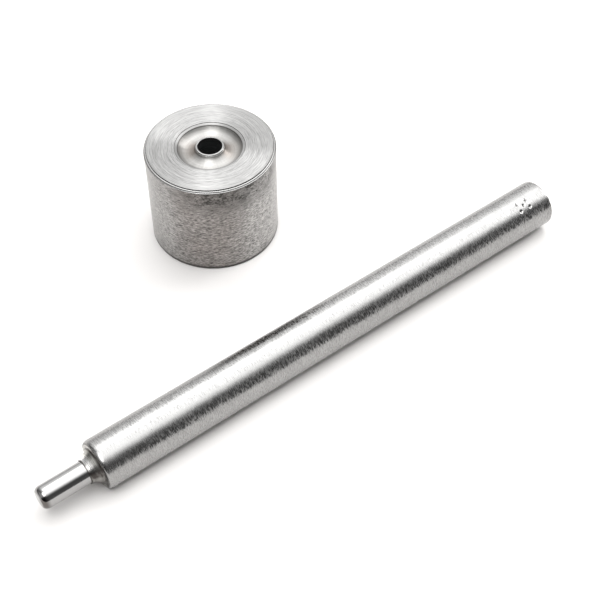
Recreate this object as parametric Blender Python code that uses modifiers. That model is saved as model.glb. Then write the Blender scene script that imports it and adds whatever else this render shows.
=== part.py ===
"""An eyelet setting set: a round anvil, and the punch that lies on the bench in front of it.

Metres, +Z up. The origin is the centre of the anvil's base, on the bench. The punch lies along X, with its
pilot pin at the -X end. Every piece is turned, so each one is a profile swept round its own axis.
"""

import math

import bmesh
import bpy
from mathutils import Matrix, Vector

MM = 0.001

# The anvil: a turned steel cylinder with a forming groove round a hollow centre post.
ANVIL_DIAMETER = 26.0 * MM
ANVIL_HEIGHT = 21.5 * MM
TOP_FACE_RADIUS = 12.43 * MM
RIM_BAND_HEIGHT = 1.0 * MM
RIM_BAND_PROUD = 0.07 * MM
RIM_CHAMFER_DROP = 0.45 * MM
BASE_EDGE_ROUND = 0.3 * MM
GROOVE_MOUTH_RADIUS = 7.0 * MM
GROOVE_RADIUS = 6.37 * MM
GROOVE_MOUTH_DROP = 0.25 * MM
GROOVE_DEPTH = 1.25 * MM
POST_RADIUS = 2.82 * MM
POST_RIM_RADIUS = 2.62 * MM
POST_RIM_DROP = 0.25 * MM
BORE_EDGE = 0.06 * MM
BORE_DIAMETER = 4.9 * MM
BORE_DEPTH = 15.0 * MM
DRILL_POINT_ANGLE = math.radians(118.0)

# The punch: a round shank whose turned neck holds a hardened pilot pin.
SHANK_DIAMETER = 9.5 * MM
SHANK_LENGTH = 105.4 * MM
SHANK_EDGE = 0.3 * MM
SHOULDER_EASE_RADIAL = 0.42 * MM
SHOULDER_EASE_LENGTH = 1.0 * MM
NECK_LENGTH = 2.15 * MM
NECK_WIDE_RADIUS = 3.5 * MM
NECK_NARROW_RADIUS = 2.32 * MM
NECK_CURVE = 1.35
NECK_STEPS = 8
PIN_DIAMETER = 4.35 * MM
PIN_EXPOSED = 9.05 * MM
PIN_TAIL = 14.0 * MM
PIN_TIP_ROUND_RADIAL = 0.85 * MM
PIN_TIP_ROUND_LENGTH = 1.2 * MM
PIN_TAIL_CHAMFER = 0.4 * MM
SEAT_GAP = 0.05 * MM
SEAT_END_GAP = 0.3 * MM

# The size mark: five small conical dots, one at each corner of an oblong and one in its middle. The angle
# is from the top of the lying shank towards -Y.
MARK_FROM_BUTT = 6.2 * MM
MARK_ANGLE = math.radians(23.5)
MARK_HALF_LENGTH = 1.2 * MM
MARK_HALF_WIDTH = 0.85 * MM
DOT_RADIUS = 0.36 * MM
DOT_DEPTH = 0.22 * MM

# Where the punch lies.
PIN_TIP_X = -63.4 * MM
PUNCH_Y = -39.3 * MM

ANVIL_SEGMENTS = 64
PUNCH_SEGMENTS = 48
DOT_SEGMENTS = 12
ARC_STEPS = 8
AXIS_MERGE = 1e-6
SHARP_ANGLE = math.radians(35.0)

PIN_RADIUS = PIN_DIAMETER / 2
SHANK_RADIUS = SHANK_DIAMETER / 2
NECK_END = PIN_EXPOSED
SHOULDER = NECK_END + NECK_LENGTH
BUTT = SHOULDER + SHANK_LENGTH


def clear_scene():
    for thing in list(bpy.data.objects):
        bpy.data.objects.remove(thing, do_unlink=True)


def new_collection(name, hidden=False):
    collection = bpy.data.collections.new(name)
    bpy.context.scene.collection.children.link(collection)
    collection.hide_render = hidden
    return collection


def arc(centre, radii, start, end):
    """Points (radius, height) along an ellipse's arc, from start to end in degrees."""
    points = []
    for step in range(ARC_STEPS + 1):
        angle = math.radians(start + (end - start) * step / ARC_STEPS)
        points.append((centre[0] + radii[0] * math.cos(angle), centre[1] + radii[1] * math.sin(angle)))
    return points


def steel(name, colour, roughness):
    material = bpy.data.materials.new(name)
    material.use_nodes = True
    shader = material.node_tree.nodes["Principled BSDF"]
    shader.inputs["Base Color"].default_value = (*colour, 1.0)
    shader.inputs["Metallic"].default_value = 1.0
    shader.inputs["Roughness"].default_value = roughness
    return material


def turned(name, profile, segments, material, collection):
    """A solid of revolution round local Z, from a profile that starts and ends on the axis."""
    mesh = bpy.data.meshes.new(name)
    corners = [(radius, 0.0, height) for radius, height in profile]
    mesh.from_pydata(corners, [(i, i + 1) for i in range(len(corners) - 1)], [])
    mesh.materials.append(material)
    piece = bpy.data.objects.new(name, mesh)
    collection.objects.link(piece)
    screw = piece.modifiers.new("Turn", "SCREW")
    screw.steps = segments
    screw.render_steps = segments
    screw.use_merge_vertices = True
    screw.merge_threshold = AXIS_MERGE
    return piece


def bake(piece):
    """Applies the modifiers, shades the round faces smooth and keeps the turned corners sharp."""
    graph = bpy.context.evaluated_depsgraph_get()
    mesh = bpy.data.meshes.new_from_object(piece.evaluated_get(graph))
    piece.modifiers.clear()
    piece.data = mesh
    mesh.name = piece.name
    mesh.shade_smooth()
    mesh.set_sharp_from_angle(angle=SHARP_ANGLE)


def bore_profile():
    """The blind bore, from the drill point up to the eased edge of its mouth."""
    radius = BORE_DIAMETER / 2
    drill_point = radius / math.tan(DRILL_POINT_ANGLE / 2)
    bottom = ANVIL_HEIGHT - BORE_DEPTH
    return [
        (0.0, bottom - drill_point),
        (radius, bottom),
        (radius, ANVIL_HEIGHT - BORE_EDGE),
        (radius + BORE_EDGE, ANVIL_HEIGHT),
    ]


def groove_profile():
    """The post's rounded rim, the forming groove as part of a circle, and its wide shallow mouth."""
    rim_centre = (POST_RIM_RADIUS, ANVIL_HEIGHT - POST_RIM_DROP)
    rim = arc(rim_centre, (POST_RADIUS - POST_RIM_RADIUS, POST_RIM_DROP), 90, 0)
    half_width = (GROOVE_RADIUS - POST_RADIUS) / 2
    depth = GROOVE_DEPTH - GROOVE_MOUTH_DROP
    circle = (half_width**2 + depth**2) / (2 * depth)
    half_angle = math.degrees(math.asin(half_width / circle))
    centre = (POST_RADIUS + half_width, ANVIL_HEIGHT - GROOVE_DEPTH + circle)
    groove = arc(centre, (circle, circle), 270 - half_angle, 270 + half_angle)
    return [*rim, *groove[1:], (GROOVE_MOUTH_RADIUS, ANVIL_HEIGHT)]


def side_profile():
    """The top face's edge, the rim band, the plain side and the base."""
    band_radius = ANVIL_DIAMETER / 2
    side_radius = band_radius - RIM_BAND_PROUD
    base_corner = (side_radius - BASE_EDGE_ROUND, BASE_EDGE_ROUND)
    base_round = arc(base_corner, (BASE_EDGE_ROUND, BASE_EDGE_ROUND), 0, -90)
    return [
        (TOP_FACE_RADIUS, ANVIL_HEIGHT),
        (band_radius, ANVIL_HEIGHT - RIM_CHAMFER_DROP),
        (band_radius, ANVIL_HEIGHT - RIM_BAND_HEIGHT),
        (side_radius, ANVIL_HEIGHT - RIM_BAND_HEIGHT - RIM_BAND_PROUD),
        *base_round,
        (0.0, 0.0),
    ]


def make_anvil(parts):
    material = steel("turned_steel", (0.56, 0.56, 0.55), 0.36)
    profile = bore_profile() + groove_profile() + side_profile()
    bake(turned("anvil", profile, ANVIL_SEGMENTS, material, parts))


def neck_side():
    """From the shoulder to the pin: a cone whose side sinks in a little."""
    points = []
    for step in range(NECK_STEPS + 1):
        share = 1 - step / NECK_STEPS
        radius = NECK_NARROW_RADIUS + (NECK_WIDE_RADIUS - NECK_NARROW_RADIUS) * share**NECK_CURVE
        points.append((radius, NECK_END + NECK_LENGTH * share))
    return points


def shank_profile():
    """The butt, the shank, its eased shoulder, the flared neck and the blind seat of the pilot pin."""
    seat_radius = PIN_RADIUS + SEAT_GAP
    seat_end = NECK_END + PIN_TAIL + SEAT_END_GAP
    ease_centre = (SHANK_RADIUS - SHOULDER_EASE_RADIAL, SHOULDER + SHOULDER_EASE_LENGTH)
    ease = arc(ease_centre, (SHOULDER_EASE_RADIAL, SHOULDER_EASE_LENGTH), 0, -90)
    return [
        (0.0, BUTT),
        (SHANK_RADIUS - SHANK_EDGE, BUTT),
        (SHANK_RADIUS, BUTT - SHANK_EDGE),
        *ease,
        *neck_side(),
        (seat_radius, NECK_END),
        (seat_radius, seat_end),
        (0.0, seat_end),
    ]


def dot_cutter(name, station, angle, cutters, punch):
    """A cone that stands on its point inside the shank's surface. station is the height above the tip."""
    outward = Vector((-math.cos(angle), -math.sin(angle), 0.0))
    mesh = bpy.data.meshes.new(name)
    shape = bmesh.new()
    bmesh.ops.create_cone(
        shape,
        cap_ends=True,
        segments=DOT_SEGMENTS,
        radius1=0.0,
        radius2=2 * DOT_RADIUS,
        depth=2 * DOT_DEPTH,
        matrix=Matrix.Translation(outward * SHANK_RADIUS + Vector((0.0, 0.0, station)))
        @ outward.to_track_quat("Z", "Y").to_matrix().to_4x4(),
    )
    shape.to_mesh(mesh)
    shape.free()
    cutter = bpy.data.objects.new(name, mesh)
    cutter.parent = punch
    cutter.hide_render = True
    cutter.display_type = "WIRE"
    cutters.objects.link(cutter)


def cut_size_mark(shank, cutters, punch):
    half_turn = MARK_HALF_WIDTH / SHANK_RADIUS
    places = [(0, 0), (-1, -1), (-1, 1), (1, -1), (1, 1)]
    for number, (along, around) in enumerate(places):
        station = BUTT - MARK_FROM_BUTT + along * MARK_HALF_LENGTH
        dot_cutter(f"dot_cutter_{number}", station, MARK_ANGLE + around * half_turn, cutters, punch)
    cut = shank.modifiers.new("SizeMark", "BOOLEAN")
    cut.operation = "DIFFERENCE"
    cut.operand_type = "COLLECTION"
    cut.collection = cutters


def make_shank(parts, cutters, punch):
    material = steel("ground_steel", (0.60, 0.60, 0.59), 0.30)
    shank = turned("punch_shank", shank_profile(), PUNCH_SEGMENTS, material, parts)
    shank.parent = punch
    cut_size_mark(shank, cutters, punch)
    bake(shank)


def pin_profile():
    """The chamfered tail that sits in the shank, the straight pin and its rounded tip."""
    top = PIN_EXPOSED + PIN_TAIL
    tip_corner = (PIN_RADIUS - PIN_TIP_ROUND_RADIAL, PIN_TIP_ROUND_LENGTH)
    return [
        (0.0, top),
        (PIN_RADIUS - PIN_TAIL_CHAMFER, top),
        (PIN_RADIUS, top - PIN_TAIL_CHAMFER),
        *arc(tip_corner, (PIN_TIP_ROUND_RADIAL, PIN_TIP_ROUND_LENGTH), 0, -90),
        (0.0, 0.0),
    ]


def make_pin(parts, punch):
    material = steel("polished_steel", (0.66, 0.66, 0.65), 0.12)
    pin = turned("pilot_pin", pin_profile(), PUNCH_SEGMENTS, material, parts)
    pin.parent = punch
    bake(pin)


def make_punch(parts, cutters):
    """The punch's own frame has its origin at the pin's tip and its Z towards the butt."""
    punch = bpy.data.objects.new("punch", None)
    punch.location = (PIN_TIP_X, PUNCH_Y, SHANK_RADIUS)
    punch.rotation_euler = (0.0, math.radians(90.0), 0.0)
    parts.objects.link(punch)
    bpy.context.view_layer.update()
    make_shank(parts, cutters, punch)
    make_pin(parts, punch)


def main():
    clear_scene()
    parts = new_collection("eyelet_setting_set")
    cutters = new_collection("cutters", hidden=True)
    make_anvil(parts)
    make_punch(parts, cutters)


main()
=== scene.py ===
"""The looks of an eyelet setting set: a turned steel anvil and a ground steel punch on a pale floor.

Every piece is made in the row frame, in metres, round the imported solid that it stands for. Each one is a
turned shape: a profile of (radius, height) points swept round an axis, in zones that have their own finish.
"""

import math

import bmesh
import bpy
from mathutils import Matrix, Vector


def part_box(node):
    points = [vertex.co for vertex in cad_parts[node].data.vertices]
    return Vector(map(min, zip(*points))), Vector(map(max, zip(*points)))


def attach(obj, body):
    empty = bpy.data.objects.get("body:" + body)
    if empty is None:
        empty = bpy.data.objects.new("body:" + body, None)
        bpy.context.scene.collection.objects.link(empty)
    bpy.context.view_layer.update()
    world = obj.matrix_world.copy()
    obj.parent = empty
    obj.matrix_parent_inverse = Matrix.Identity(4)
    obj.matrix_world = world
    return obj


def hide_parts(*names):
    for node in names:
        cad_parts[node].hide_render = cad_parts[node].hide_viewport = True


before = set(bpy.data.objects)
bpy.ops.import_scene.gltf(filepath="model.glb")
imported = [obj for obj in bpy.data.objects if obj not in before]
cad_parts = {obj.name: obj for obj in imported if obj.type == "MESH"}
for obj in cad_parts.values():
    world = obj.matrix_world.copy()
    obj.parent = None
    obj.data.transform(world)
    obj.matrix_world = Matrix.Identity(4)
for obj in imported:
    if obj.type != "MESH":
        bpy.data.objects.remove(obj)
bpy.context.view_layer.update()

MM = 0.001

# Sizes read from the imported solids.
ANVIL_LOW, ANVIL_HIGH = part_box("anvil")
SHANK_LOW, SHANK_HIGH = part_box("punch_shank")
PIN_LOW, PIN_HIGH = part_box("pilot_pin")
ANVIL_RADIUS = (ANVIL_HIGH.x - ANVIL_LOW.x) / 2
ANVIL_HEIGHT = ANVIL_HIGH.z
SHANK_RADIUS = (SHANK_HIGH.z - SHANK_LOW.z) / 2
PIN_RADIUS = (PIN_HIGH.z - PIN_LOW.z) / 2
ANVIL_AXIS = Vector((0.0, 0.0, 0.0))
PUNCH_AXIS = Vector((PIN_LOW.x, (SHANK_LOW.y + SHANK_HIGH.y) / 2, (SHANK_LOW.z + SHANK_HIGH.z) / 2))

# Along the punch, from the pin's tip.
NECK_END = SHANK_LOW.x - PIN_LOW.x
BUTT = SHANK_HIGH.x - PIN_LOW.x
PIN_TOP = PIN_HIGH.x - PIN_LOW.x
NECK_LENGTH = 2.15 * MM
SHOULDER = NECK_END + NECK_LENGTH

# Details of the anvil.
BORE_RADIUS = 2.43 * MM
BORE_DEPTH = 15.0 * MM
DRILL_POINT = 1.46 * MM
POST_RIM_RADIUS = 2.72 * MM
POST_RADIUS = 2.82 * MM
POST_RIM_DROP = 0.25 * MM
GROOVE_RADIUS = 6.37 * MM
GROOVE_DEPTH = 1.25 * MM
MOUTH_RADIUS = 7.0 * MM
MOUTH_DROP = 0.25 * MM
MOUTH_STEP = 0.07 * MM
MOUTH_BEVEL = 0.03 * MM
TOP_FACE_RADIUS = 12.43 * MM
RIM_BAND_TOP = 0.55 * MM
RIM_BAND_FOOT = 1.05 * MM
RIM_BAND_PROUD = 0.07 * MM
BASE_ROUND = 0.3 * MM
# Steps outwards and down, in millimetres: the ridges at the top face's edge.
RIM_STEPS = ((0.12, 0.20), (0.22, 0.03), (0.08, 0.17), (0.13, 0.05))
# Steps outwards from the bore's wall and down from the top, in millimetres.
BORE_EDGE = ((0.0, 0.08), (0.03, 0.02), (0.07, 0.0))
# Rings of painted shade on the turned faces, from one radius to another, and how far each edge fades.
RIM_CREASES = ((12.42 * MM, 12.54 * MM), (12.76 * MM, 12.84 * MM))
MOUTH_CREASES = ((6.34 * MM, 6.44 * MM), (6.90 * MM, 7.02 * MM))
CREASE_FADE = 0.02 * MM
# Which way the stain and the painted shade face, from -Y towards +X.
STAIN_HEADING = math.radians(-12.0)
SHADE_HEADING = math.radians(-38.0)
# How far turned rings draw a highlight outwards.
RING_STRETCH = 0.94

# Details of the punch.
NECK_WIDE_RADIUS = 3.5 * MM
NECK_NARROW_RADIUS = 2.32 * MM
NECK_CURVE = 1.35
NECK_STEPS = 24
SHOULDER_EASE = (0.42 * MM, 1.0 * MM)
BUTT_ROUND = 0.35 * MM
SEAT_RADIUS = 2.215 * MM
SEAT_DEPTH = 14.3 * MM
SEAT_CHAMFER = 0.06 * MM
TIP_ROUND = (0.85 * MM, 1.2 * MM)
TAIL_CHAMFER = 0.4 * MM
MARK_FROM_BUTT = 6.2 * MM
MARK_ANGLE = math.radians(23.5)
MARK_HALF_LENGTH = 1.2 * MM
MARK_HALF_WIDTH = 0.85 * MM
DOT_RADIUS = 0.42 * MM
DOT_DEPTH = 0.2 * MM
DOT_CURVE = 0.8
DOT_BURR = 0.02 * MM
# Where each burr ends, in dot radii.
BURR_REACH = 1.5

# Camera: where it looks, how far off it stands, and its angles in degrees.
LOOK_AT = Vector((1.035, -27.547, 0.025)) * MM
CAMERA_DISTANCE = 243.5 * MM
CAMERA_HEADING = 37.178
CAMERA_ELEVATION = 49.289
CAMERA_ROLL = -0.278
LENS = 74.134
SENSOR = 36.0
# Level, and straight away from the camera.
AWAY = Vector((math.sin(math.radians(CAMERA_HEADING)), math.cos(math.radians(CAMERA_HEADING)), 0.0))

SMOOTH_BELOW = math.radians(24.0)
NOISE_ROUGHNESS = 0.55

FLOOR_HALF_WIDTH = 3.0
FLOOR_DROP = 0.02 * MM

SOFTBOX_SIZE = (0.6, 0.4)
SOFTBOX_WATTS = 1.2
SOFTBOX_DISTANCE = 0.9
SOFTBOX_DIRECTION = 0.50 * AWAY + Vector((0.0, 0.0, 0.86))


# --- Shapes -------------------------------------------------------------------------------------------


def arc(centre, radii, start, end, steps=12):
    """Points (radius, height) along an ellipse's arc, from start to end in degrees."""
    points = []
    for step in range(steps + 1):
        angle = math.radians(start + (end - start) * step / steps)
        points.append((centre[0] + radii[0] * math.cos(angle), centre[1] + radii[1] * math.sin(angle)))
    return points


def straight(start, end, steps):
    """Points from start to end, without the first."""
    return [
        (start[0] + (end[0] - start[0]) * i / steps, start[1] + (end[1] - start[1]) * i / steps)
        for i in range(1, steps + 1)
    ]


def on_anvil(radius, angle, height):
    """Height runs up from the floor. Angle 0 is towards +X."""
    return ANVIL_AXIS + Vector((radius * math.cos(angle), radius * math.sin(angle), height))


def on_punch(radius, angle, height):
    """Height runs along the punch from its tip. Angle 0 is straight up, and it grows towards -Y."""
    return PUNCH_AXIS + Vector((height, -radius * math.sin(angle), radius * math.cos(angle)))


def join_rings(shape, first, second, finish):
    """Faces between two rings, either of which may be a single point on the axis."""
    count = max(len(first), len(second))
    for i in range(count):
        j = (i + 1) % count
        corners = [ring[k % len(ring)] for ring, k in ((first, i), (second, i), (second, j), (first, j))]
        face = shape.faces.new(list(dict.fromkeys(corners)))
        face.material_index = finish
        face.smooth = True


def turned(name, zones, segments, place, relief=None):
    """A closed turned piece.

    zones is a list of (material, points), which run from the axis, over the outside and back to the axis.
    relief gives how far the surface sinks in at a place, and the attribute "relief_depth" keeps that depth.
    """
    mesh = bpy.data.meshes.new(name)
    shape = bmesh.new()
    relief_depth = shape.verts.layers.float.new("relief_depth")
    angles = [2 * math.pi * i / segments for i in range(segments)]
    last = None
    for finish, (material, points) in enumerate(zones):
        mesh.materials.append(material)
        for radius, height in points:
            ring = []
            for angle in angles if radius > 0 else [0.0]:
                depth = relief(radius, angle, height) if relief else 0.0
                vertex = shape.verts.new(place(radius - depth, angle, height))
                vertex[relief_depth] = depth
                ring.append(vertex)
            if last:
                join_rings(shape, last, ring, finish)
            last = ring
    bmesh.ops.recalc_face_normals(shape, faces=shape.faces)
    shape.to_mesh(mesh)
    shape.free()
    mesh.set_sharp_from_angle(angle=SMOOTH_BELOW)
    piece = bpy.data.objects.new(name, mesh)
    bpy.context.scene.collection.objects.link(piece)
    return piece


# --- Shader building ----------------------------------------------------------------------------------


def add(tree, kind, inputs, **settings):
    """A new node. Each input is a socket to link or a constant."""
    node = tree.nodes.new(kind)
    for key, value in settings.items():
        setattr(node, key, value)
    for key, value in inputs.items():
        if isinstance(value, bpy.types.NodeSocket):
            tree.links.new(value, node.inputs[key])
        else:
            node.inputs[key].default_value = value
    return node


def maths(tree, operation, a, b=0.0, c=0.0, clamp=False):
    return add(tree, "ShaderNodeMath", {0: a, 1: b, 2: c}, operation=operation, use_clamp=clamp).outputs[0]


def product(tree, *values):
    result = values[0]
    for value in values[1:]:
        result = maths(tree, "MULTIPLY", result, value)
    return result


def largest(tree, *values):
    result = values[0]
    for value in values[1:]:
        result = maths(tree, "MAXIMUM", result, value)
    return result


def vector(tree, operation, a, b=(0.0, 0.0, 0.0)):
    return add(tree, "ShaderNodeVectorMath", {0: a, 1: b}, operation=operation).outputs["Vector"]


def scaled(tree, direction, amount):
    return add(
        tree, "ShaderNodeVectorMath", {"Vector": direction, "Scale": amount}, operation="SCALE"
    ).outputs["Vector"]


def combined(tree, x, y, z):
    return add(tree, "ShaderNodeCombineXYZ", {"X": x, "Y": y, "Z": z}).outputs["Vector"]


def span(tree, value, low, high, to_low=0.0, to_high=1.0):
    """value, eased from to_low at low to to_high at high."""
    return add(
        tree,
        "ShaderNodeMapRange",
        {"Value": value, "From Min": low, "From Max": high, "To Min": to_low, "To Max": to_high},
        interpolation_type="SMOOTHSTEP",
    ).outputs["Result"]


def noise(tree, place, scale=1.0, detail=3.0):
    """Noise round 0, mostly within -1 to 1."""
    inputs = {"Vector": place, "Scale": scale, "Detail": detail, "Roughness": NOISE_ROUGHNESS}
    texture = add(tree, "ShaderNodeTexNoise", inputs)
    return maths(tree, "MULTIPLY_ADD", texture.outputs["Fac"], 4.0, -2.0)


def object_place(tree):
    return add(tree, "ShaderNodeTexCoord", {}).outputs["Object"]


def mixed(tree, share, first, second):
    """A colour between two, which are constants or sockets."""
    node = add(tree, "ShaderNodeMix", {0: share}, data_type="RGBA")
    for socket, value in ((node.inputs[6], first), (node.inputs[7], second)):
        if isinstance(value, bpy.types.NodeSocket):
            tree.links.new(value, socket)
        else:
            socket.default_value = (*value, 1.0)
    return node.outputs[2]


def steel(name):
    """A bare metal material, its tree and its shader."""
    material = bpy.data.materials.new(name)
    material.use_nodes = True
    tree = material.node_tree
    shader = tree.nodes["Principled BSDF"]
    shader.inputs["Metallic"].default_value = 1.0
    return material, tree, shader


class Turning:
    """Places on a turned piece: along its axis, its radius, and the directions round and out from it."""

    def __init__(self, tree, axis_point, axis):
        self.tree = tree
        place = vector(tree, "SUBTRACT", object_place(tree), axis_point)
        offset = add(tree, "ShaderNodeSeparateXYZ", {"Vector": place})
        x, y, z = (offset.outputs[letter] for letter in "XYZ")
        if axis == "Z":
            self.along, self.first, self.second = z, x, y
            out = combined(tree, x, y, 0.0)
            self.axis = (0.0, 0.0, 1.0)
        else:
            self.along, self.first, self.second = x, y, z
            out = combined(tree, 0.0, y, z)
            self.axis = (1.0, 0.0, 0.0)
        self.radius = add(tree, "ShaderNodeVectorMath", {0: out}, operation="LENGTH").outputs["Value"]
        self.out = vector(tree, "NORMALIZE", out)
        self.round = vector(tree, "CROSS_PRODUCT", self.axis, self.out)

    def streaks(self, width, length, detail=3.0):
        """Noise drawn out round the axis, on a side face: width along the axis, length round it."""
        tree = self.tree
        place = combined(
            tree,
            maths(tree, "DIVIDE", self.along, width),
            maths(tree, "DIVIDE", self.first, length),
            maths(tree, "DIVIDE", self.second, length),
        )
        return noise(tree, place, detail=detail)

    def rings(self, width, turns, detail=3.0):
        """Noise drawn out round the axis, on an end face: width outwards, turns waves to the radian."""
        tree = self.tree
        angular = scaled(tree, self.out, turns)
        parts = add(tree, "ShaderNodeSeparateXYZ", {"Vector": angular})
        place = combined(
            tree,
            maths(tree, "DIVIDE", self.radius, width),
            maths(tree, "ADD", parts.outputs["X"], parts.outputs["Z"]),
            parts.outputs["Y"],
        )
        return noise(tree, place, detail=detail)

    def leaning(self, *leans):
        """The surface normal, leaning in each direction by an amount in radians."""
        tree = self.tree
        normal = add(tree, "ShaderNodeNewGeometry", {}).outputs["Normal"]
        for direction, amount in leans:
            turned_out = add(
                tree,
                "ShaderNodeVectorTransform",
                {"Vector": direction},
                vector_type="VECTOR",
                convert_from="OBJECT",
                convert_to="WORLD",
            ).outputs["Vector"]
            normal = vector(tree, "ADD", normal, scaled(tree, turned_out, amount))
        return vector(tree, "NORMALIZE", normal)


def towards(tree, direction, heading):
    """How far a direction faces a heading, which is measured from -Y towards +X: 1 for straight at it."""
    aim = (math.sin(heading), -math.cos(heading), 0.0)
    return add(tree, "ShaderNodeVectorMath", {0: direction, 1: aim}, operation="DOT_PRODUCT").outputs["Value"]


def total(tree, *weighted):
    """The sum of (value, weight) pairs."""
    result = 0.0
    for value, weight in weighted:
        result = maths(tree, "MULTIPLY_ADD", value, weight, result)
    return result


def tinted(tree, colour, change):
    """A colour made lighter or darker by a share of itself."""
    factor = maths(tree, "ADD", change, 1.0)
    return vector(tree, "MULTIPLY", colour, combined(tree, factor, factor, factor))


def finish(tree, shader, colour, roughness, normal, stretch=0.0, tangent=None):
    """Sets a shader's sockets. The stretch draws its highlights out along the tangent."""
    if tangent:
        shader.inputs["Anisotropic"].default_value = stretch
        tree.links.new(tangent, shader.inputs["Tangent"])
    for socket, value in (("Base Color", colour), ("Roughness", roughness), ("Normal", normal)):
        tree.links.new(value, shader.inputs[socket])


# --- Materials ----------------------------------------------------------------------------------------

NO_TINT = (1.0, 1.0, 1.0)
# The dark of the anvil side's stain, also used for painted shade in the groove and along the anvil's foot.
STAIN_AND_PAINTED_SHADE = (0.06, 0.058, 0.054)
# The dark of the shank's pits, also used for painted shade in its size dots and along its shoulder.
PIT_AND_PAINTED_SHADE_DARK = (0.07, 0.068, 0.065)
# Painted shade in the turned creases.
CREASE_PAINTED_SHADE = (0.07, 0.068, 0.064)


def ground_shank():
    """Bright plated bar, ground round its axis: short cross scratches that fray each reflection, dark pits,
    and painted shade in the size dots and along the shoulder.
    """
    material, tree, shader = steel("ground_shank")
    turning = Turning(tree, PUNCH_AXIS, "X")
    # Handling has smoothed the scratches near the shoulder.
    handled = span(tree, turning.along, SHOULDER, SHOULDER + 14.0 * MM, 0.35, 1.0)
    fine = product(tree, turning.streaks(0.13 * MM, 0.7 * MM, detail=1.0), handled)
    coarse = turning.streaks(0.22 * MM, 1.6 * MM)
    broad = turning.streaks(2.6 * MM, 7.0 * MM)
    pits = span(tree, noise(tree, object_place(tree), scale=1500.0, detail=1.0), 0.95, 1.25)
    # Painted shade in the size dots: the deeper a dot sinks, the darker it is.
    relief_depth = add(tree, "ShaderNodeAttribute", {}, attribute_name="relief_depth").outputs["Fac"]
    dot_painted_shade = span(tree, relief_depth, 0.02 * MM, 0.14 * MM)
    # Painted shade: a thin dark band along the shoulder.
    shoulder_painted_shade = span(tree, turning.along, SHOULDER, SHOULDER + 0.16 * MM, 1.0, 0.0)
    butt_edge = span(tree, turning.along, BUTT - 0.5 * MM, BUTT - 0.1 * MM)
    plain = tinted(tree, (0.335, 0.333, 0.329), total(tree, (fine, 0.24), (coarse, 0.08), (broad, 0.04)))
    dark = largest(
        tree, product(tree, dot_painted_shade, 0.75), product(tree, pits, 0.5), product(tree, shoulder_painted_shade, 0.8)
    )
    colour = mixed(tree, dark, plain, PIT_AND_PAINTED_SHADE_DARK)
    colour = mixed(tree, product(tree, butt_edge, 0.3), colour, (0.45, 0.45, 0.44))
    roughness = maths(tree, "ADD", total(tree, (fine, 0.18), (coarse, 0.05)), 0.26)
    normal = turning.leaning(
        (turning.round, total(tree, (fine, 0.05), (coarse, 0.03), (broad, 0.02))),
        (turning.axis, total(tree, (fine, 0.12), (coarse, 0.05))),
    )
    finish(tree, shader, colour, roughness, normal)
    return material


def polished_pin():
    """Mirror-polished dowel with faint scuffs round it, and painted shade on the -Y side of its tip."""
    material, tree, shader = steel("polished_pin")
    turning = Turning(tree, PUNCH_AXIS, "X")
    scuffs = turning.streaks(0.16 * MM, 2.5 * MM)
    clouds = turning.streaks(1.8 * MM, 2.2 * MM)
    plain = tinted(tree, (0.37, 0.368, 0.365), total(tree, (scuffs, 0.03), (clouds, 0.03)))
    # Painted shade on the -Y side of the tip.
    in_front = span(tree, towards(tree, turning.out, 0.0), 0.3, 0.8, 0.2, 1.0)
    tip_painted_shade = product(tree, in_front, span(tree, turning.along, 0.5 * MM, 1.5 * MM, 0.9, 0.0))
    colour = mixed(tree, tip_painted_shade, plain, (0.11, 0.098, 0.092))
    roughness = maths(tree, "ADD", total(tree, (scuffs, 0.015), (clouds, 0.015)), 0.09)
    normal = turning.leaning(
        (turning.round, total(tree, (scuffs, 0.012))),
        (turning.axis, total(tree, (scuffs, 0.01))),
    )
    finish(tree, shader, colour, roughness, normal)
    return material


def turned_neck():
    """Coarse turning marks, with a painted highlight by the pin's seat and painted shade by the pin, in the
    corner, at the shoulder's edge and on the -Y side.
    """
    material, tree, shader = steel("turned_neck")
    turning = Turning(tree, PUNCH_AXIS, "X")
    radius = turning.radius
    marks = turning.streaks(0.12 * MM, 2.5 * MM, detail=2.0)
    smears = turning.streaks(0.5 * MM, 1.4 * MM)
    in_front = towards(tree, turning.out, 0.0)
    # Painted shade: by the pin, in the corner, at the shoulder's edge and on the -Y side, broken up by the
    # smears.
    pin_painted_shade = span(tree, turning.along, NECK_END + 0.1 * MM, NECK_END + 0.3 * MM, 1.0, 0.0)
    corner_painted_shade = product(
        tree, span(tree, radius, 3.15 * MM, 3.45 * MM), span(tree, radius, 3.58 * MM, 3.75 * MM, 1.0, 0.1)
    )
    edge_painted_shade = span(tree, radius, 4.05 * MM, 4.3 * MM)
    minus_y_painted_shade = product(tree, span(tree, in_front, 0.60, 0.80), span(tree, in_front, 0.95, 1.0, 1.0, 0.6))
    smeared = maths(tree, "MULTIPLY_ADD", smears, 0.5, 1.0)
    neck_painted_shade = maths(tree, "MULTIPLY", largest(tree, pin_painted_shade, corner_painted_shade, edge_painted_shade, minus_y_painted_shade), smeared, clamp=True)
    # Painted highlight on the upper side of the neck, by the pin's seat.
    seat_painted_highlight = product(
        tree, span(tree, radius, 2.65 * MM, 3.0 * MM, 1.0, 0.0), span(tree, in_front, 0.55, 0.72, 1.0, 0.0)
    )
    bare = mixed(tree, seat_painted_highlight, (0.44, 0.436, 0.412), (0.95, 0.94, 0.92))
    plain = tinted(tree, bare, total(tree, (marks, 0.2), (smears, 0.3)))
    colour = mixed(tree, product(tree, neck_painted_shade, 0.92), plain, (0.040, 0.033, 0.030))
    roughness = maths(tree, "ADD", total(tree, (marks, 0.03), (smears, 0.04), (neck_painted_shade, 0.1)), 0.27)
    normal = turning.leaning(
        (turning.axis, total(tree, (marks, 0.10))),
        (turning.round, total(tree, (smears, 0.04))),
    )
    finish(tree, shader, colour, roughness, normal)
    return material


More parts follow.
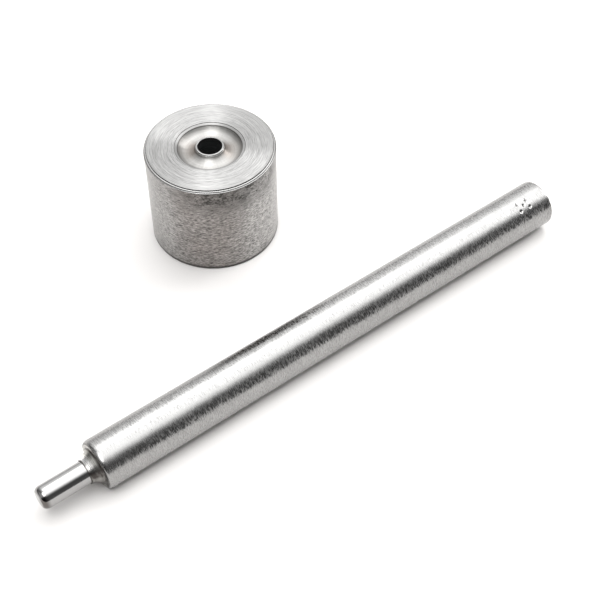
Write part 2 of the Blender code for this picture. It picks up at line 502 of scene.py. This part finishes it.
def turned_end(name, axis_point, axis, base, width, contrast, lean, rough, creases=()):
    """An end face with the fine rings that a lathe tool leaves, which stretch each reflection outwards.

    width is a ring's, contrast and lean are how far the rings change the colour and the normal, and rough is
    the mean roughness. Each crease is a ring of painted shade between two radii.
    """
    material, tree, shader = steel(name)
    turning = Turning(tree, axis_point, axis)
    fine = turning.rings(width, 6.0, detail=1.0)
    long = turning.rings(0.9 * width, 1.6, detail=1.0)
    wide = turning.rings(6 * width, 1.5)
    scratches = span(tree, turning.rings(0.9 * width, 4.5, detail=1.0), 0.7, 1.1)
    tone = total(tree, (fine, 0.8 * contrast), (long, contrast), (wide, 0.15 * contrast), (scratches, -0.3))
    colour = tinted(tree, base, tone)
    # Each crease darkens its ring with painted shade.
    for low, high in creases:
        past_low = product(tree, span(tree, turning.radius, low, low + CREASE_FADE), 0.85)
        crease = product(tree, past_low, span(tree, turning.radius, high, high + CREASE_FADE, 1.0, 0.0))
        colour = mixed(tree, crease, colour, CREASE_PAINTED_SHADE)
    roughness = maths(tree, "ADD", total(tree, (fine, 0.03), (wide, 0.03)), rough)
    normal = turning.leaning((turning.out, total(tree, (fine, lean), (long, 0.6 * lean))))
    finish(tree, shader, colour, roughness, normal, RING_STRETCH, turning.out)
    return material


def polished_groove():
    """The forming groove: smooth, with faint lines, painted shade on two sides and beside each wall, and a
    painted highlight on the post's wall.
    """
    material, tree, shader = steel("polished_groove")
    turning = Turning(tree, ANVIL_AXIS, "Z")
    radius = turning.radius
    radial = turning.rings(2.2 * MM, 14.0, detail=2.0)
    rings = turning.rings(0.12 * MM, 1.6, detail=2.0)
    plain = tinted(tree, (0.43, 0.424, 0.412), total(tree, (radial, 0.08), (rings, 0.14)))
    # Painted shade with a brown tint, on the two sides that face across SHADE_HEADING.
    across = maths(tree, "ABSOLUTE", towards(tree, turning.out, SHADE_HEADING))
    painted_shade_share = product(
        tree, span(tree, across, 0.3, 0.8, 1.0, 0.0), span(tree, radius, 3.0 * MM, 6.0 * MM, 1.0, 0.3)
    )
    plain = vector(tree, "MULTIPLY", plain, mixed(tree, painted_shade_share, NO_TINT, (0.60, 0.55, 0.52)))
    # Painted highlight on the post's wall.
    post_painted_highlight = span(tree, radius, POST_RADIUS - 0.02 * MM, POST_RADIUS + 0.06 * MM, 1.0, 0.0)
    plain = mixed(tree, post_painted_highlight, plain, (0.85, 0.85, 0.84))
    # Painted shade round the post's foot, in the band by the outer wall and on the outer wall itself.
    foot_painted_shade = product(
        tree,
        span(tree, radius, POST_RADIUS + 0.01 * MM, POST_RADIUS + 0.08 * MM),
        span(tree, radius, POST_RADIUS + 0.10 * MM, POST_RADIUS + 0.48 * MM, 0.6, 0.0),
    )
    near_wall = span(tree, radius, 5.0 * MM, 6.3 * MM)
    shade = product(tree, near_wall, maths(tree, "MULTIPLY_ADD", radial, 0.12, 0.38))
    outer_wall = product(tree, span(tree, radius, GROOVE_RADIUS - 0.22 * MM, GROOVE_RADIUS), 0.85)
    dark = largest(tree, outer_wall, maths(tree, "ADD", foot_painted_shade, shade))
    colour = mixed(tree, dark, plain, STAIN_AND_PAINTED_SHADE)
    roughness = maths(tree, "ADD", total(tree, (radial, 0.03), (rings, 0.02)), 0.43)
    normal = turning.leaning(
        (turning.out, total(tree, (rings, 0.05))),
        (turning.round, total(tree, (radial, 0.03))),
    )
    finish(tree, shader, colour, roughness, normal, RING_STRETCH, turning.out)
    return material


def dark_bore():
    """The bore's wall, drilled and oily, and a little darker by its mouth."""
    material, tree, shader = steel("dark_bore")
    turning = Turning(tree, ANVIL_AXIS, "Z")
    marks = turning.streaks(0.25 * MM, 3.0 * MM)
    by_mouth = span(tree, turning.along, ANVIL_HEIGHT - 1.4 * MM, ANVIL_HEIGHT - 0.1 * MM)
    deep = tinted(tree, (0.24, 0.25, 0.252), total(tree, (marks, 0.4)))
    colour = mixed(tree, by_mouth, deep, (0.18, 0.18, 0.18))
    roughness = maths(tree, "ADD", total(tree, (marks, 0.08)), 0.42)
    finish(tree, shader, colour, roughness, turning.leaning((turning.axis, total(tree, (marks, 0.1)))))
    return material


def ground_side():
    """The anvil's side: short scratches round it, cloudy patches, a dark mottled stain under the rim, and
    painted shade on one side and along the foot.
    """
    material, tree, shader = steel("ground_side")
    turning = Turning(tree, ANVIL_AXIS, "Z")
    fine = turning.streaks(0.12 * MM, 0.75 * MM, detail=1.0)
    coarse = turning.streaks(0.20 * MM, 2.2 * MM, detail=1.0)
    place = object_place(tree)
    clouds = noise(tree, place, scale=130.0, detail=2.0)
    specks = noise(tree, place, scale=2200.0, detail=2.0)
    blots = noise(tree, place, scale=520.0)
    below_rim = span(tree, turning.along, ANVIL_HEIGHT - 7.5 * MM, ANVIL_HEIGHT - 1.8 * MM, 0.0, 1.22)
    in_front = span(tree, towards(tree, turning.out, STAIN_HEADING), 0.45, 0.95, 0.15, 1.0)
    mottle = span(tree, total(tree, (blots, 0.6), (specks, 0.9), (fine, 0.9)), -0.5, 0.8)
    stain = product(tree, below_rim, in_front, mottle)
    # Painted shade along the foot, where the side meets the floor.
    foot_painted_shade = span(tree, turning.along, 0.3 * MM, 1.0 * MM, 1.0, 0.0)
    tone = total(tree, (fine, 0.75), (coarse, 0.32), (clouds, 0.06), (specks, 0.3))
    plain = tinted(tree, (0.325, 0.318, 0.31), tone)
    # Painted shade with a warm tint, on the side that faces SHADE_HEADING.
    heading_painted_shade = span(tree, towards(tree, turning.out, SHADE_HEADING), 0.75, 1.0)
    painted_shade_share = product(tree, heading_painted_shade, maths(tree, "MULTIPLY_ADD", clouds, 0.25, 0.75))
    plain = vector(tree, "MULTIPLY", plain, mixed(tree, painted_shade_share, NO_TINT, (0.69, 0.645, 0.625)))
    colour = mixed(tree, largest(tree, stain, foot_painted_shade), plain, STAIN_AND_PAINTED_SHADE)
    roughness = maths(tree, "ADD", total(tree, (fine, 0.04), (coarse, 0.03), (stain, 0.1)), 0.34)
    normal = turning.leaning(
        (turning.round, total(tree, (fine, 0.06), (specks, 0.03))),
        (turning.axis, total(tree, (fine, 0.10), (coarse, 0.10))),
    )
    finish(tree, shader, colour, roughness, normal)
    return material


# --- Pieces -------------------------------------------------------------------------------------------


def post_and_groove():
    """The post's rounded rim, then the groove as part of a circle."""
    rim_centre = (POST_RIM_RADIUS, ANVIL_HEIGHT - POST_RIM_DROP)
    rim = arc(rim_centre, (POST_RADIUS - POST_RIM_RADIUS, POST_RIM_DROP), 90, 0, 8)
    half_width = (GROOVE_RADIUS - POST_RADIUS) / 2
    depth = GROOVE_DEPTH - MOUTH_DROP
    circle = (half_width**2 + depth**2) / (2 * depth)
    half_angle = math.degrees(math.asin(half_width / circle))
    centre = (POST_RADIUS + half_width, ANVIL_HEIGHT - GROOVE_DEPTH + circle)
    groove = arc(centre, (circle, circle), 270 - half_angle, 270 + half_angle, 28)
    return rim, groove[1:]


def rim_steps():
    """The fine turned ridges down the top face's edge."""
    radius, height = TOP_FACE_RADIUS, ANVIL_HEIGHT
    points = []
    for out, drop in RIM_STEPS:
        start = (radius, height)
        radius += out * MM
        height -= drop * MM
        points += straight(start, (radius, height), 3)
    return points


def make_anvil():
    top = ANVIL_HEIGHT
    face_metal = turned_end("lathe_face", ANVIL_AXIS, "Z", (0.33, 0.328, 0.324), 0.12 * MM, 0.27, 0.06, 0.39)
    rim_metal = turned_end(
        "rim_ridges", ANVIL_AXIS, "Z", (0.30, 0.299, 0.295), 0.12 * MM, 0.08, 0.03, 0.24, RIM_CREASES
    )
    mouth_metal = turned_end(
        "groove_mouth", ANVIL_AXIS, "Z", (0.29, 0.288, 0.284), 0.12 * MM, 0.12, 0.04, 0.40, MOUTH_CREASES
    )
    base_metal = turned_end(
        "anvil_base_face", ANVIL_AXIS, "Z", (0.30, 0.298, 0.292), 0.16 * MM, 0.12, 0.12, 0.36
    )
    rim, groove = post_and_groove()
    mouth_edge = (MOUTH_RADIUS - MOUTH_BEVEL, top - MOUTH_STEP)
    side_radius = ANVIL_RADIUS - RIM_BAND_PROUD
    bottom = top - BORE_DEPTH
    bore_edge = [(BORE_RADIUS + out * MM, top - drop * MM) for out, drop in BORE_EDGE]
    zones = [
        (dark_bore(), [(0.0, bottom - DRILL_POINT), (BORE_RADIUS, bottom), bore_edge[0]]),
        (rim_metal, [*bore_edge[1:], *rim]),
        (polished_groove(), groove),
        (mouth_metal, [*straight(groove[-1], mouth_edge, 6), (MOUTH_RADIUS, top)]),
        (face_metal, straight((MOUTH_RADIUS, top), (TOP_FACE_RADIUS, top), 12)),
        (rim_metal, rim_steps()),
        (
            ground_side(),
            [
                (ANVIL_RADIUS, top - RIM_BAND_TOP),
                *straight((ANVIL_RADIUS, top - RIM_BAND_TOP), (ANVIL_RADIUS, top - RIM_BAND_FOOT), 2),
                *straight((side_radius, top - RIM_BAND_FOOT - RIM_BAND_PROUD), (side_radius, BASE_ROUND), 24),
                *arc((side_radius - BASE_ROUND, BASE_ROUND), (BASE_ROUND, BASE_ROUND), 0, -90, 6)[1:],
            ],
        ),
        (base_metal, straight((side_radius - BASE_ROUND, 0.0), (0.0, 0.0), 8)),
    ]
    anvil = turned("anvil_turned", zones, 256, on_anvil)
    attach(anvil, "anvil")
    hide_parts("anvil")


def size_dots(radius, angle, height):
    """How deep the size mark's dots go at a place on the shank: a dish with a low burr round it."""
    if abs(radius - SHANK_RADIUS) > 0.01 * MM:
        return 0.0
    along = height - (BUTT - MARK_FROM_BUTT)
    around = (angle - MARK_ANGLE) * SHANK_RADIUS
    depth = 0.0
    for i, j in ((0, 0), (-1, -1), (-1, 1), (1, -1), (1, 1)):
        distance = math.hypot(along - i * MARK_HALF_LENGTH, around - j * MARK_HALF_WIDTH) / DOT_RADIUS
        if distance < 1.0:
            dish = DOT_DEPTH * (1 - distance) ** DOT_CURVE
            depth += dish - DOT_BURR * math.sin(math.pi * distance) * distance
        elif distance < BURR_REACH:
            depth -= DOT_BURR * (BURR_REACH - distance)
    return depth


def make_shank():
    butt_metal = turned_end("butt_face", PUNCH_AXIS, "X", (0.34, 0.338, 0.332), 0.14 * MM, 0.10, 0.10, 0.32)
    mark = BUTT - MARK_FROM_BUTT
    mark_reach = MARK_HALF_LENGTH + 1.6 * DOT_RADIUS
    shoulder = SHOULDER + SHOULDER_EASE[1]
    flare = []
    for step in range(NECK_STEPS + 1):
        share = 1 - step / NECK_STEPS
        radius = NECK_NARROW_RADIUS + (NECK_WIDE_RADIUS - NECK_NARROW_RADIUS) * share**NECK_CURVE
        flare.append((radius, NECK_END + NECK_LENGTH * share))
    shoulder_centre = (SHANK_RADIUS - SHOULDER_EASE[0], shoulder)
    butt_centre = (SHANK_RADIUS - BUTT_ROUND, BUTT - BUTT_ROUND)
    zones = [
        (butt_metal, [(0.0, BUTT), *straight((0.0, BUTT), (SHANK_RADIUS - BUTT_ROUND, BUTT), 8)]),
        (
            ground_shank(),
            [
                *arc(butt_centre, (BUTT_ROUND, BUTT_ROUND), 90, 0, 8)[1:],
                *straight((SHANK_RADIUS, BUTT - BUTT_ROUND), (SHANK_RADIUS, mark + mark_reach), 4),
                *straight((SHANK_RADIUS, mark + mark_reach), (SHANK_RADIUS, mark - mark_reach), 64),
                *straight((SHANK_RADIUS, mark - mark_reach), (SHANK_RADIUS, shoulder), 48),
                *arc(shoulder_centre, SHOULDER_EASE, 0, -90, 12)[1:],
            ],
        ),
        (
            turned_neck(),
            [
                *flare,
                (SEAT_RADIUS + SEAT_CHAMFER, NECK_END),
                (SEAT_RADIUS, NECK_END + 2 * SEAT_CHAMFER),
                (SEAT_RADIUS, NECK_END + SEAT_DEPTH),
                (0.0, NECK_END + SEAT_DEPTH),
            ],
        ),
    ]
    shank = turned("shank_turned", zones, 256, on_punch, size_dots)
    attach(shank, "punch")
    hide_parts("punch_shank")


def make_pin():
    tip_centre = (PIN_RADIUS - TIP_ROUND[0], TIP_ROUND[1])
    zones = [
        (
            polished_pin(),
            [
                (0.0, PIN_TOP),
                (PIN_RADIUS - TAIL_CHAMFER, PIN_TOP),
                (PIN_RADIUS, PIN_TOP - TAIL_CHAMFER),
                *straight((PIN_RADIUS, PIN_TOP - TAIL_CHAMFER), (PIN_RADIUS, TIP_ROUND[1]), 16),
                *arc(tip_centre, TIP_ROUND, 0, -90, 16)[1:],
                *straight((PIN_RADIUS - TIP_ROUND[0], 0.0), (0.0, 0.0), 3),
            ],
        )
    ]
    pin = turned("pin_polished", zones, 128, on_punch)
    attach(pin, "punch")
    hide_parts("pilot_pin")


# --- Stage, light and camera --------------------------------------------------------------------------


def make_floor():
    material = bpy.data.materials.new("pale_floor")
    material.use_nodes = True
    tree = material.node_tree
    shader = tree.nodes["Principled BSDF"]
    shader.inputs["Roughness"].default_value = 0.7
    shader.inputs["Specular IOR Level"].default_value = 0.2
    tone = noise(tree, object_place(tree), scale=9.0, detail=2.0)
    colour = tinted(tree, (0.728, 0.714, 0.703), total(tree, (tone, 0.004)))
    tree.links.new(colour, shader.inputs["Base Color"])
    mesh = bpy.data.meshes.new("floor")
    shape = bmesh.new()
    bmesh.ops.create_grid(shape, x_segments=8, y_segments=8, size=FLOOR_HALF_WIDTH)
    shape.to_mesh(mesh)
    shape.free()
    mesh.materials.append(material)
    floor = bpy.data.objects.new("floor", mesh)
    floor.location = (0.0, 0.0, -FLOOR_DROP)
    bpy.context.scene.collection.objects.link(floor)


# The room's brightness, as (degrees, radiance). The angle is about the X axis: 0 is straight up, and it grows
# towards -Y, where the room is dim. A wide soft light is overhead and behind.
MIDDLE = (
    (-90, 0.55),
    (-80, 0.9),
    (-70, 1.15),
    (-60, 1.4),
    (-52, 1.6),
    (-45, 2.0),
    (-38, 2.45),
    (-20, 2.6),
    (-5, 2.9),
    (14, 2.9),
    (24, 2.35),
    (31, 1.5),
    (37, 0.75),
    (44, 0.25),
    (52, 0.12),
    (68, 0.12),
    (80, 0.15),
    (90, 0.4),
)
# The same towards both ends of the punch, where a brighter and narrower light lifts the floor's shadows.
ENDS = (
    (-90, 0.4),
    (-60, 0.4),
    (-30, 0.45),
    (-12, 0.9),
    (-2, 7.6),
    (26, 7.6),
    (32, 0.5),
    (43, 0.12),
    (90, 0.10),
)
BRIGHTEST = 7.6
# As the X part of a direction, from the first value to the second: where each end's light comes in, where
# the left one stops, and where the whole room dims to a share of its level.
LEFT_END = (0.10, -0.35)
RIGHT_END = (0.58, 0.90)
PAST_LEFT_END = (-0.46, -0.66)
FAR_LEFT = (-0.32, -0.55)
FAR_LEFT_LEVEL = 0.25


def room_ramp(tree, place, levels):
    """The brightness at a place, which is 0 at -90 degrees and 1 at 90, as a share of the brightest."""
    ramp = add(tree, "ShaderNodeValToRGB", {"Fac": place})
    stops = ramp.color_ramp.elements
    stops[0].position, stops[1].position = 0.0, 1.0
    for _ in levels[2:]:
        stops.new(0.5)
    for stop, (degrees, radiance) in zip(stops, levels):
        stop.position = (degrees + 90) / 180
        stop.color = (*(radiance / BRIGHTEST,) * 3, 1.0)
    return ramp.outputs["Color"]


def make_room():
    """A soft studio room: a wide light overhead, brighter at both ends, and a dim side behind the camera."""
    world = bpy.data.worlds.new("soft_room")
    bpy.context.scene.world = world
    world.use_nodes = True
    tree = world.node_tree
    direction = add(tree, "ShaderNodeTexCoord", {}).outputs["Generated"]
    parts = add(tree, "ShaderNodeSeparateXYZ", {"Vector": direction})
    x, y, z = (parts.outputs[letter] for letter in "XYZ")
    tilt = maths(tree, "ARCTAN2", maths(tree, "MULTIPLY", y, -1.0), z)
    place = maths(tree, "MULTIPLY_ADD", tilt, 1 / math.pi, 0.5)
    left_end = product(tree, span(tree, x, *LEFT_END), span(tree, x, *PAST_LEFT_END, 1.0, 0.0))
    ends = maths(tree, "ADD", left_end, span(tree, x, *RIGHT_END), clamp=True)
    colour = mixed(tree, ends, room_ramp(tree, place, MIDDLE), room_ramp(tree, place, ENDS))
    colour = scaled(tree, colour, span(tree, x, *FAR_LEFT, 1.0, FAR_LEFT_LEVEL))
    background = tree.nodes["Background"]
    tree.links.new(colour, background.inputs["Color"])
    background.inputs["Strength"].default_value = BRIGHTEST


def make_light():
    lamp = bpy.data.lights.new("softbox", "AREA")
    lamp.shape = "RECTANGLE"
    lamp.size, lamp.size_y = SOFTBOX_SIZE
    lamp.energy = SOFTBOX_WATTS
    softbox = bpy.data.objects.new("softbox", lamp)
    softbox.location = LOOK_AT + SOFTBOX_DISTANCE * SOFTBOX_DIRECTION
    softbox.rotation_euler = (LOOK_AT - softbox.location).to_track_quat("-Z", "Y").to_euler()
    bpy.context.scene.collection.objects.link(softbox)


def make_camera():
    lens = bpy.data.cameras.new("camera")
    lens.sensor_width = SENSOR
    lens.lens = LENS
    lens.clip_start = 0.01
    camera = bpy.data.objects.new("camera", lens)
    elevation = math.radians(CAMERA_ELEVATION)
    back = -math.cos(elevation) * AWAY + Vector((0.0, 0.0, math.sin(elevation)))
    camera.matrix_world = (
        Matrix.Translation(LOOK_AT + CAMERA_DISTANCE * back)
        @ Matrix.Rotation(math.radians(-CAMERA_HEADING), 4, "Z")
        @ Matrix.Rotation(math.pi / 2 - elevation, 4, "X")
        @ Matrix.Rotation(math.radians(CAMERA_ROLL), 4, "Z")
    )
    bpy.context.scene.collection.objects.link(camera)
    bpy.context.scene.camera = camera


bpy.context.scene.view_settings.view_transform = "Standard"
make_camera()
make_anvil()
make_shank()
make_pin()
make_floor()
make_room()
make_light()
